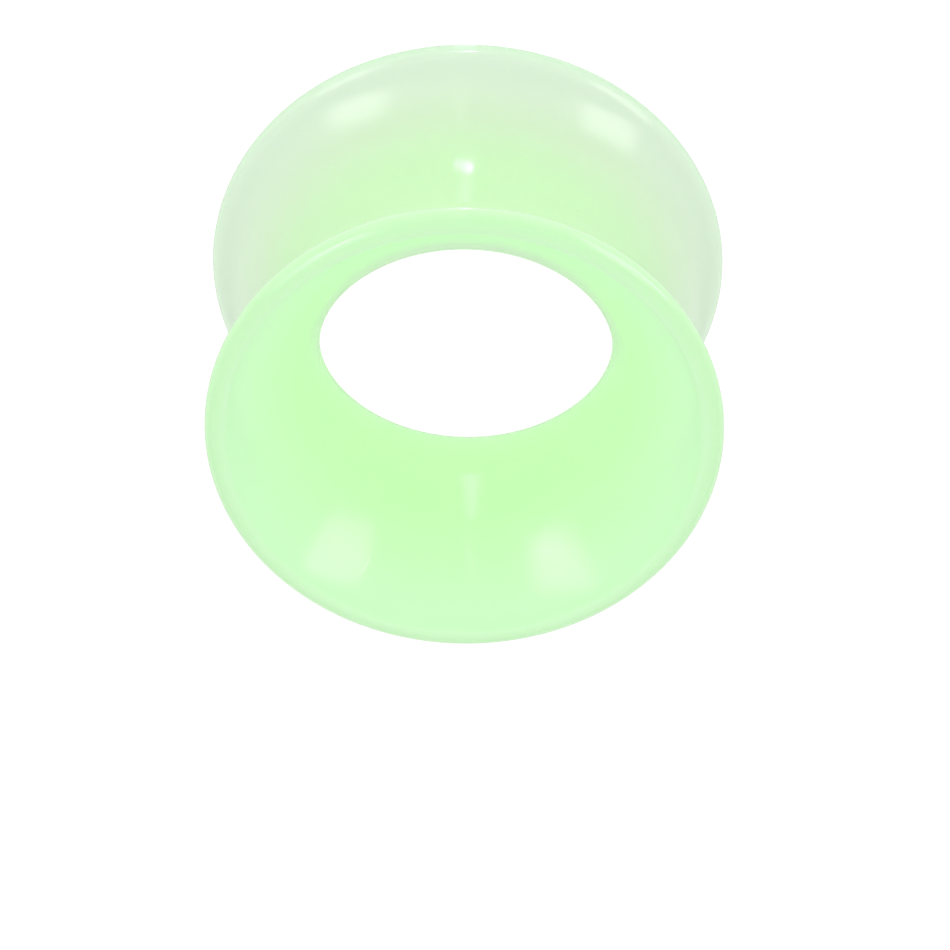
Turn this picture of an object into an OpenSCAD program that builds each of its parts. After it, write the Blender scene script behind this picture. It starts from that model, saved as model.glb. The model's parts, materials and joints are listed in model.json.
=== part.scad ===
// Double-flared ear tunnel: one soft ring that, when worn, is held in the ear
// lobe by a flange at each end of a narrower waist. It stands here on one
// flange, with its bore upright. Sizes are in millimetres.

/* [Waist and bore] */
// Outside diameter at the waist, which is the size of the stretched piercing
waist_d = 14; // [10:0.5:24]
// Wall thickness at the waist
wall = 1.45; // [1.1:0.05:2.5]
// Length of the straight band round the waist
waist_band = 0.75; // [0.2:0.05:2]
// Length of the straight band inside the bore
bore_band = 0.3; // [0.1:0.05:2]

/* [Flanges] */
// Overall length, from the lip of one flange to the lip of the other
length = 12.4; // [10:0.1:16]
// How far each flange stands out beyond the waist
flange_out = 2.75; // [2:0.05:4]
// Wall thickness where the flange runs into its lip
edge_wall = 1; // [0.6:0.05:1.5]
// How far the rounded lip stands proud of each side of that wall
lip_proud = 0.03; // [0.02:0.01:0.2]
// Slope of the inner side where it reaches the lip, in degrees from the bore's axis
lip_slope = 49; // [45:1:55]

/* [Colour] */
// Pale green of the soft rubber: red, green and blue
rubber_colour = [0.80, 1.0, 0.76];

/* [Hidden] */
$fn = 180;

waist_r = waist_d / 2;
bore_r = waist_r - wall;
edge_r = edge_wall / 2;
lip_r = edge_r + lip_proud;
// Centre of the lip's round. Points of the section are [radius, height above mid-length].
lip_c = [waist_r + flange_out - lip_r, length / 2 - lip_r];

// Outer side: one arc from the waist band to the lip
saddle = [lip_c.x - waist_r, lip_c.y - waist_band / 2];
saddle_r = (saddle * saddle - edge_r * edge_r) / (2 * (saddle.x + edge_r));
saddle_c = [waist_r + saddle_r, waist_band / 2];
to_lip = (lip_c - saddle_c) / norm(lip_c - saddle_c);

// Inner side: a tight arc from the bore band, then a slower one to the lip.
// They meet where the wall's square direction is that of a 3-4-5 triangle, and
// their radii are rounded, so that both pass through exactly the same point.
square_to = [-0.8, 0.6];
square_to_end = [-cos(lip_slope), sin(lip_slope)];
run = lip_c + edge_r * square_to_end - [bore_r, bore_band / 2];
turn_1 = square_to - [-1, 0];
turn_2 = square_to_end - square_to;
share = turn_1.x * turn_2.y - turn_1.y * turn_2.x;
throat_r = round(100 * (run.x * turn_2.y - run.y * turn_2.x) / share) / 100;
throat_c = [bore_r + throat_r, bore_band / 2];
throat_end = throat_c + throat_r * square_to;
past = lip_c - throat_end;
flare_r = round(10 * (past * past - edge_r * edge_r) / (-2 * (past * square_to + edge_r))) / 10;
flare_c = throat_end - flare_r * square_to;

// The flare's cut runs on this many degrees past the slope at the lip
cut_on = 10;
flare_end = flare_c + flare_r * [-cos(lip_slope + cut_on), sin(lip_slope + cut_on)];

// Long enough to reach past the section from any point in it
reach = length + flange_out;

// What is to be cut away beyond the arc from a to b: a four-sided piece that
// leaves the arc square at both ends, less the circle the arc belongs to
module beyond_arc(centre, r, a, b) {
    difference() {
        polygon([a, b, b + reach * (b - centre) / r, a + reach * (a - centre) / r]);
        translate(centre) circle(r);
    }
}

// All the cuts of one end
module end_cuts() {
    beyond_arc(throat_c, throat_r, [bore_r, bore_band / 2], throat_end);
    beyond_arc(flare_c, flare_r, throat_end, flare_end);
    translate(saddle_c) circle(saddle_r);
}

// Half of the tunnel cut lengthwise through its axis: a blank that is full size
// only at the two bands and ends square across the middle of each lip, a wall's
// thickness to either side of it, less the cuts of both ends, with the round of
// each lip added
module section() {
    half = [[waist_r, waist_band / 2], [lip_c.x, waist_band / 2], lip_c - edge_wall * to_lip,
            lip_c + edge_wall * to_lip, [bore_r - lip_r, length / 2 + lip_r],
            [bore_r - lip_r, bore_band / 2], [bore_r, bore_band / 2]];
    difference() {
        polygon(concat(half, [for (i = [len(half) - 1 : -1 : 0]) [half[i].x, -half[i].y]]));
        end_cuts();
        mirror([0, 1]) end_cuts();
    }
    for (s = [1, -1]) translate([lip_c.x, s * lip_c.y]) circle(lip_r);
}

module ear_tunnel() {
    color(rubber_colour)
    translate([0, 0, length / 2])
    rotate_extrude() section();
}

ear_tunnel();
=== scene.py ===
"""The looks of a soft double-flared ear tunnel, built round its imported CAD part."""
import json
import math

import bpy
import numpy as np
from mathutils import Matrix, Vector


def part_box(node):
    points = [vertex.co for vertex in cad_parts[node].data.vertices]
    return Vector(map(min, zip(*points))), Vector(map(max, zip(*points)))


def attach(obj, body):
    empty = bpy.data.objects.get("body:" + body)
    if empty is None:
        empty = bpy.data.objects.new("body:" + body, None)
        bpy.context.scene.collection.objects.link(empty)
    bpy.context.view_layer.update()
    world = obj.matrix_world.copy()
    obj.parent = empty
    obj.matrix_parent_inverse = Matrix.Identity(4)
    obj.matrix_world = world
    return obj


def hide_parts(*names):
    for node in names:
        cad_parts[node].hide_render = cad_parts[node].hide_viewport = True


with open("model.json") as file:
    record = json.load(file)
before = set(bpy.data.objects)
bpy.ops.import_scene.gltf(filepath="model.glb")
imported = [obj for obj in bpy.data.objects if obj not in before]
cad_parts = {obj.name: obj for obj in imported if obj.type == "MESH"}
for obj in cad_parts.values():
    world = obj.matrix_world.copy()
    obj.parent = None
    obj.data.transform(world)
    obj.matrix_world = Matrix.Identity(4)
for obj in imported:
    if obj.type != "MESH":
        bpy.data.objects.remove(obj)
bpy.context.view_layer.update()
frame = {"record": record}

# The tunnel. One ring of soft silicone, moulded in one shot round two core pins that
# meet in mid-bore, so its wall has the same section all the way round. Both its ends
# flare and finish in a round lip.
MM = 0.001
low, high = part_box("ear_tunnel")
mid_height = (low.z + high.z) / 2
half_length = (high.z - low.z) / 2
flange_r = (high.x - low.x) / 2
fits = {mount["name"]: mount["dims"] for mount in frame["record"]["mounts"]}
bore_r = fits["bore"]["r_mm"] * MM
bore_band = fits["bore"]["length_mm"] * MM / 2
waist_r = fits["lobe_saddle"]["r_mm"] * MM
waist_band = fits["lobe_saddle"]["length_mm"] * MM / 2

# Half the wall where it meets the lip, the lip's radius, and the slopes of the inner
# side at the lip and where its two arcs meet
edge_r = 0.5 * MM
lip_r = 0.53 * MM
lip_slope = math.radians(49)
throat_turn = math.atan2(3, 4)

# The raised line where the core pins met, and the mesh's steps along each stretch
parting_height = 0.012 * MM
parting_width = 0.12 * MM
steps_round = 320
throat_steps = 22
flare_steps = 22
lip_steps = 40
saddle_steps = 44
bore_steps = 8
waist_steps = 4

# Greens along the section. On the inside and the outside they run from the bore or
# waist, 0, to the lip, 1, and on each lip from the inside, 0, to the outside, 1. They are
# the silicone's green with painted light in it. The paler, greyer greens towards each lip
# are painted light for the white that shows through the thin flange. The foot's lip is
# painted paler than the upper one for the same light. The inside is painted lighter against
# the shade in the bore, and the lips are painted darker against the light they catch.
greens_with_painted_light = {
    "inside": [(0.0, (0.66, 0.95, 0.575)), (0.4, (0.673, 0.95, 0.605)),
               (0.8, (0.668, 0.925, 0.63)), (1.0, (0.625, 0.895, 0.585))],
    "outside": [(0.0, (0.597, 0.867, 0.512)), (0.4, (0.675, 0.82, 0.613)),
                (0.8, (0.72, 0.82, 0.69)), (1.0, (0.71, 0.81, 0.69))],
    "upper_lip": [(0.0, (0.625, 0.895, 0.585)), (0.2, (0.60, 0.87, 0.555)),
                  (0.45, (0.565, 0.84, 0.515)), (0.8, (0.565, 0.84, 0.515)), (1.0, (0.71, 0.81, 0.69))],
    "foot_lip": [(0.0, (0.625, 0.895, 0.585)), (0.45, (0.555, 0.79, 0.535)),
                 (0.8, (0.59, 0.765, 0.57)), (1.0, (0.66, 0.79, 0.64))],
}


def polar(centre, radius, angle):
    """A point of the section on a circle, with its angle taken from straight out."""
    return np.array([centre[0] + radius * math.cos(angle), centre[1] + radius * math.sin(angle)])


def arc(centre, radius, start, end, count):
    """Points on an arc, without its last one."""
    return [polar(centre, radius, start + (end - start) * i / count) for i in range(count)]


def inner_side(lip):
    """Centres and radii of the two arcs that run from the bore's straight band to the lip."""
    square = [np.array([-math.cos(a), math.sin(a)]) for a in (0, throat_turn, lip_slope)]
    run = lip + edge_r * square[2] - [bore_r, bore_band]
    turns = square[1] - square[0], square[2] - square[1]
    throat_r, flare_r = np.linalg.solve(np.transpose(turns), run)
    throat = np.array([bore_r + throat_r, bore_band])
    flare = throat + (throat_r - flare_r) * square[1]
    return throat, throat_r, flare, flare_r


def half_section():
    """Upper half of the wall's outline, from the middle of the bore over the lip to the
    middle of the waist. A row is radius, height, the side it is on and its place there."""
    lip = np.array([flange_r - lip_r, half_length - lip_r])
    throat, throat_r, flare, flare_r = inner_side(lip)
    out = lip - [waist_r, waist_band]
    saddle_r = (out @ out - edge_r**2) / (2 * (out[0] + edge_r))
    saddle = np.array([waist_r + saddle_r, waist_band])
    from_saddle = math.atan2(*(lip - saddle)[::-1])
    crease = math.acos(edge_r / lip_r)
    lip_ends = math.pi - lip_slope - crease, from_saddle - math.pi + crease
    inside = [np.array([bore_r, bore_band * i / bore_steps]) for i in range(bore_steps)]
    inside += arc(throat, throat_r, math.pi, math.pi - throat_turn, throat_steps)
    inside += arc(flare, flare_r, math.pi - throat_turn, math.pi - lip_slope, flare_steps)
    round_lip = arc(lip, lip_r, *lip_ends, lip_steps)
    outside = arc(saddle, saddle_r, from_saddle, math.pi, saddle_steps)
    outside += [np.array([waist_r, waist_band * (1 - i / waist_steps)]) for i in range(waist_steps + 1)]
    rows = [(*p, "inside", (p[0] - bore_r) / (lip[0] - bore_r)) for p in inside]
    rows += [(*p, "upper_lip", i / len(round_lip)) for i, p in enumerate(round_lip)]
    return rows + [(*p, "outside", (p[0] - waist_r) / (lip[0] - waist_r)) for p in outside]


def green_at(side, place):
    places, colours = zip(*greens_with_painted_light[side])
    return [np.interp(place, places, channel) for channel in zip(*colours)]


def ring_mesh(name):
    """The section turned about the bore, with a fine raised parting line round its middle
    and a sharp crease where each lip meets the outside."""
    upper = half_section()
    crease = next(i for i, row in enumerate(upper) if row[2] == "outside")
    lower = [(r, -z, side.replace("upper", "foot"), place) for r, z, side, place in upper[-2:0:-1]]
    section = upper + lower
    count = len(section)
    row_greens = [green_at(side, place) for r, z, side, place in section]
    verts, faces = [], []
    for step in range(steps_round):
        turn = 2 * math.pi * step / steps_round
        for r, z, side, place in section:
            bead = parting_height * math.exp(-((z / parting_width) ** 2)) if side == "inside" else 0
            verts.append(((r - bead) * math.cos(turn), (r - bead) * math.sin(turn), mid_height + z))
        here, after = step * count, (step + 1) % steps_round * count
        for i in range(count):
            j = (i + 1) % count
            faces.append((here + i, here + j, after + j, after + i))
    made = bpy.data.meshes.new(name)
    made.from_pydata(verts, [], faces)
    made.polygons.foreach_set("use_smooth", [True] * len(faces))
    creases = {crease, count - crease}
    rows_of_ends = [[corner % count for corner in edge.vertices] for edge in made.edges]
    sharp = [first == second and first in creases for first, second in rows_of_ends]
    made.attributes.new("sharp_edge", "BOOLEAN", "EDGE").data.foreach_set("value", sharp)
    # Each point gets its green from the section, painted light and painted shade included
    tint = np.tile(np.ravel(row_greens), steps_round)
    made.attributes.new("green", "FLOAT_VECTOR", "POINT").data.foreach_set("vector", tint)
    made.update()
    return made


mesh = ring_mesh("silicone_ring")
ring = bpy.data.objects.new("silicone_ring", mesh)
bpy.context.scene.collection.objects.link(ring)

milky_green = (0.80, 0.97, 0.74, 1)
cloud_scale = 170.0
cloud_share = 0.04
sheen_scale = 900.0
skin_scale = 1400.0
skin_height = 0.004 * MM
satin_roughness = 0.10, 0.15

# Dust and one scratch, in mm, with places from the middle of the ring's foot and the
# scratch's depth in heights of the skin's noise
dust = (0.42, 0.58, 0.36, 1)
dust_share = 0.5
speck_scale = 480.0
speck_r = 0.05
speck_core_r = 0.02
nick_middle = (3.61, 6.87, 11.15)
nick_curve_centre = (4.88, 6.08, 11.03)
nick_curve_r = 1.5
nick_reach = 0.5
nick_full_reach = 0.3
nick_half_width = 0.04
nick_share = 0.9
nick_depth = 3.0


def add_node(tree, kind, inputs, output=0, **settings):
    """A node's output socket. Inputs go by socket name or number to a value or a socket."""
    made = tree.nodes.new(kind)
    for key, value in settings.items():
        setattr(made, key, value)
    for key, value in inputs.items():
        if isinstance(value, bpy.types.NodeSocket):
            tree.links.new(value, made.inputs[key])
        else:
            made.inputs[key].default_value = value
    return made.outputs[output]


def blended(tree, share, first, second):
    return add_node(tree, "ShaderNodeMix", {0: share, 6: first, 7: second}, 2, data_type="RGBA")


def spread(tree, value, low_end, high_end):
    """Takes the middle part of a noise's range to the range given."""
    stops = {"Value": value, "From Min": 0.3, "From Max": 0.7, "To Min": low_end, "To Max": high_end}
    return add_node(tree, "ShaderNodeMapRange", stops)


def calculated(tree, operation, first, second):
    return add_node(tree, "ShaderNodeMath", {0: first, 1: second}, operation=operation)


def fading(tree, distance, full, none):
    """One up to the first distance, falling to nothing at the second."""
    stops = {"Value": distance, "From Min": full, "From Max": none, "To Min": 1.0, "To Max": 0.0}
    return add_node(tree, "ShaderNodeMapRange", stops)


def specks(tree, place):
    """A few tiny grains of dust, one here and there."""
    cells = {"Vector": place, "Scale": speck_scale}
    from_grain = add_node(tree, "ShaderNodeTexVoronoi", cells, "Distance")
    core, reach = speck_core_r * MM * speck_scale, speck_r * MM * speck_scale
    return calculated(tree, "MULTIPLY", fading(tree, from_grain, core, reach), dust_share)


def nick(tree, place):
    """A fine curved scratch on the inner side of the upper flange."""
    def distance_to(point):
        ends = {0: place, 1: Vector(point) * MM}
        return add_node(tree, "ShaderNodeVectorMath", ends, "Value", operation="DISTANCE")
    off_curve = calculated(tree, "SUBTRACT", distance_to(nick_curve_centre), nick_curve_r * MM)
    off_curve = calculated(tree, "ABSOLUTE", off_curve, 0.0)
    line = fading(tree, off_curve, 0.0, nick_half_width * MM)
    near = fading(tree, distance_to(nick_middle), nick_full_reach * MM, nick_reach * MM)
    return calculated(tree, "MULTIPLY", line, near)


def silicone_finish():
    """Milky, translucent silicone with the satin skin of a polished mould."""
    material = bpy.data.materials.new("pale_green_silicone")
    material.use_nodes = True
    tree = material.node_tree
    rubber = tree.nodes["Principled BSDF"]
    # The mesh's greens, which carry painted light through the flange and painted shade on the lips
    tint = add_node(tree, "ShaderNodeAttribute", {}, "Vector", attribute_name="green")
    place = add_node(tree, "ShaderNodeTexCoord", {}, "Object")
    cloud = add_node(tree, "ShaderNodeTexNoise", {"Vector": place, "Scale": cloud_scale, "Detail": 3.0})
    tint = blended(tree, spread(tree, cloud, 0.0, cloud_share), tint, milky_green)
    tint = blended(tree, specks(tree, place), tint, dust)
    scratch = nick(tree, place)
    tint = blended(tree, calculated(tree, "MULTIPLY", scratch, nick_share), tint, milky_green)
    tree.links.new(tint, rubber.inputs["Base Color"])
    sheen = add_node(tree, "ShaderNodeTexNoise", {"Vector": place, "Scale": sheen_scale, "Detail": 2.0})
    tree.links.new(spread(tree, sheen, *satin_roughness), rubber.inputs["Roughness"])
    skin = add_node(tree, "ShaderNodeTexNoise", {"Vector": place, "Scale": skin_scale, "Detail": 3.0})
    groove = calculated(tree, "MULTIPLY", scratch, nick_depth)
    height = calculated(tree, "SUBTRACT", skin, groove)
    relief = {"Strength": 0.4, "Distance": skin_height, "Height": height}
    tree.links.new(add_node(tree, "ShaderNodeBump", relief, "Normal"), rubber.inputs["Normal"])
    rubber.inputs["IOR"].default_value = 1.43
    rubber.inputs["Subsurface Weight"].default_value = 1.0
    rubber.inputs["Subsurface Radius"].default_value = (1.0, 1.0, 1.0)
    rubber.inputs["Subsurface Scale"].default_value = 0.8 * MM
    return material


mesh.materials.append(silicone_finish())
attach(ring, "root")
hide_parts("ear_tunnel")

# The floor. A sheet of white acrylic, lit evenly from below as a light table is,
# that runs far past the view. It shines less in the ring than it lights it.
floor_reach = 1.5
floor_glow = 0.90
floor_shine = 0.45
floor_corners = [(-1, -1, 0), (1, -1, 0), (1, 1, 0), (-1, 1, 0)]


def by_ray(tree, seen, in_gloss):
    """A strength that differs for the rays that show as a shine."""
    is_gloss = add_node(tree, "ShaderNodeLightPath", {}, "Is Glossy Ray")
    strengths = {"Value": is_gloss, "To Min": seen, "To Max": in_gloss}
    return add_node(tree, "ShaderNodeMapRange", strengths)


floor_mesh = bpy.data.meshes.new("floor")
floor_mesh.from_pydata([Vector(corner) * floor_reach for corner in floor_corners], [], [(0, 1, 2, 3)])
floor = bpy.data.objects.new("floor", floor_mesh)
bpy.context.scene.collection.objects.link(floor)
sheet = bpy.data.materials.new("lit_white_acrylic")
sheet.use_nodes = True
acrylic = sheet.node_tree.nodes["Principled BSDF"]
acrylic.inputs["Base Color"].default_value = (0.25, 0.25, 0.25, 1)
acrylic.inputs["Roughness"].default_value = 0.9
acrylic.inputs["Specular IOR Level"].default_value = 0.2
acrylic.inputs["Emission Color"].default_value = (1, 1, 1, 1)
glow = by_ray(sheet.node_tree, floor_glow, floor_shine)
sheet.node_tree.links.new(glow, acrylic.inputs["Emission Strength"])
floor_mesh.materials.append(sheet)

# The light. A white tent, and lamps that show only as highlights on the satin skin:
# two softboxes low on either side, for the pair of patches on each flange, a strip,
# and small ones close to the ring, for the waist, the bore and the upper lip.
ring_centre = Vector((0, 0, mid_height))
tent_front = 1.2
tent_back = 0.85
tent_shine = 0.2
tent = bpy.data.worlds.new("tent")
bpy.context.scene.world = tent
tent.use_nodes = True
backdrop = tent.node_tree.nodes["Background"]
backdrop.inputs["Color"].default_value = (1, 1, 1, 1)
towards = add_node(tent.node_tree, "ShaderNodeTexCoord", {}, "Generated")
towards_back = add_node(tent.node_tree, "ShaderNodeSeparateXYZ", {0: towards}, "Y")
front_to_back = {"Value": towards_back, "From Min": -1.0, "To Min": tent_front, "To Max": tent_back}
tent_glow = add_node(tent.node_tree, "ShaderNodeMapRange", front_to_back)
tent_light = by_ray(tent.node_tree, tent_glow, tent_shine)
tent.node_tree.links.new(tent_light, backdrop.inputs["Strength"])


def pointing(azimuth, elevation):
    a, e = math.radians(azimuth), math.radians(elevation)
    return Vector((math.cos(a) * math.cos(e), math.sin(a) * math.cos(e), math.sin(e)))


def fade_at_edges(lamp, sides, top, foot):
    """Fades a lamp out over these shares of its width and height."""
    lamp.use_nodes = True
    tree = lamp.node_tree
    spot = add_node(tree, "ShaderNodeNewGeometry", {}, "Parametric")
    across, up = add_node(tree, "ShaderNodeSeparateXYZ", {0: spot}).node.outputs[:2]
    edges = [(across, 0, sides), (across, 1, 1 - sides), (up, 0, foot), (up, 1, 1 - top)]
    strength = 1.0
    for part, edge, inner in edges:
        fall = {"Value": part, "From Min": edge, "From Max": inner}
        fade = add_node(tree, "ShaderNodeMapRange", fall, interpolation_type="SMOOTHSTEP")
        strength = calculated(tree, "MULTIPLY", strength, fade)
    tree.links.new(strength, tree.nodes["Emission"].inputs["Strength"])


def shine_lamp(name, place, aim, width, height, shine, soft_edges=None, colour=(1, 1, 1), beam=180):
    """A flat lamp seen only in the ring's gloss, in metres. Its beam, in degrees, dims to
    nothing at its edge, and the shine is what shows along the middle of it."""
    lamp = bpy.data.lights.new(name, "AREA")
    lamp.shape = "RECTANGLE"
    lamp.size, lamp.size_y = width, height
    lamp.spread = math.radians(beam)
    half_beam = lamp.spread / 2
    lamp.energy = shine * math.pi**2 * width * height * (1 - half_beam / math.tan(half_beam))
    lamp.color = colour
    if soft_edges:
        fade_at_edges(lamp, *soft_edges)
    made = bpy.data.objects.new(name, lamp)
    made.location = place
    made.rotation_euler = (place - aim).to_track_quat("Z", "Y").to_euler()
    made.visible_camera = False
    made.visible_diffuse = False
    bpy.context.scene.collection.objects.link(made)


lamp_distance = 0.5
big_lamps = [  # name, azimuth, elevation, width, height, shine, soft share of sides, top and foot
    ("right_softbox", -43.5, 22, 0.30, 0.265, 1.15, (0.35, 0.25, 0.6)),
    ("left_softbox", -147.5, 22, 0.25, 0.24, 1.1, (0.22, 0.2, 0.4)),
    ("strip", -86, 14, 0.016, 0.42, 1.2, (0.4, 0.4, 0.4)),
]
for name, azimuth, elevation, width, height, shine, soft_edges in big_lamps:
    lamp_place = ring_centre + lamp_distance * pointing(azimuth, elevation)
    shine_lamp(name, lamp_place, ring_centre, width, height, shine, soft_edges)

small_lamp_colour = (0.8, 0.95, 1.1)
small_lamps = [  # name, place and aim from the middle of the ring's foot, width, height, shine, beam
    ("waist_slot", (0.1, -12.5, 0.62), (0, -7.1, 4.7), 0.75, 0.9, 4.4, 180),
    ("waist_slot_faint", (1.05, -12.8, 0.6), (0.2, -7.1, 4.65), 0.6, 0.8, 2.4, 180),
    ("foot_slot", (0.3, -12.2, 0.15), (0.3, -12.2, 9.0), 0.9, 5.0, 0.3, 180),
    ("bore_slot", (0.4, -2.3, 4.2), (0, 5.8, 7.6), 0.55, 9.4, 1.15, 180),
    ("right_lip_lamp", (9.8, -10.6, 15.4), (5.5, -7.85, 12.25), 8.0, 8.0, 1.2, 60),
    ("left_lip_lamp", (-10.9, -10.8, 12.2), (-5.9, -7.6, 12.2), 8.0, 2.4, 1.6, 90),
]
for name, place, aim, width, height, shine, beam in small_lamps:
    shine_lamp(name, Vector(place) * MM, Vector(aim) * MM, width * MM, height * MM, shine,
               colour=small_lamp_colour, beam=beam)

# A small green lamp inside the bore, which lifts the throat as light through the wall does
bore_lamp_green = (0.97, 2.2, 0.82)
bore_lamp_r = 1.5 * MM
bore_lamp_watts = 0.00014
bore_lamp = bpy.data.lights.new("bore_lamp", "POINT")
bore_lamp.shadow_soft_size = bore_lamp_r
bore_lamp.energy = bore_lamp_watts
bore_lamp.color = bore_lamp_green
bore_lamp_object = bpy.data.objects.new("bore_lamp", bore_lamp)
bore_lamp_object.location = ring_centre
bore_lamp_object.visible_camera = False
bore_lamp_object.visible_glossy = False
bpy.context.scene.collection.objects.link(bore_lamp_object)

# The camera. A long lens from in front and above, turned over so that the upper
# flange is low in the picture, as the photograph has it. The middle of the ring
# falls on ring_pixel.
photo_side = 950
ring_pixel = (466.0, 344.5)
pixel = MM / 26.403
camera_distance = 0.47
camera_elevation = 56.44
camera_azimuth = -90
camera_roll = 180 + 1.18
sensor = 36.0

view = pointing(camera_azimuth, camera_elevation)
level = view.to_track_quat("Z", "Y").to_matrix()
turned = level @ Matrix.Rotation(math.radians(camera_roll), 3, "Z")
across, upward = turned.col[0], turned.col[1]
aim = ring_centre + (photo_side / 2 - ring_pixel[0]) * pixel * across \
    - (photo_side / 2 - ring_pixel[1]) * pixel * upward
place = ring_centre + view * camera_distance
back = (place - aim).normalized()
across = upward.cross(back).normalized()
upward = back.cross(across)
camera_data = bpy.data.cameras.new("camera")
camera = bpy.data.objects.new("camera", camera_data)
bpy.context.scene.collection.objects.link(camera)
camera.matrix_world = Matrix.Translation(place) @ Matrix((across, upward, back)).transposed().to_4x4()
camera_data.sensor_width = sensor
camera_data.lens = sensor * camera_distance / (photo_side * pixel)
camera_data.clip_start, camera_data.clip_end = 0.01, 10
bpy.context.scene.camera = camera
bpy.context.scene.view_settings.view_transform = "Standard"
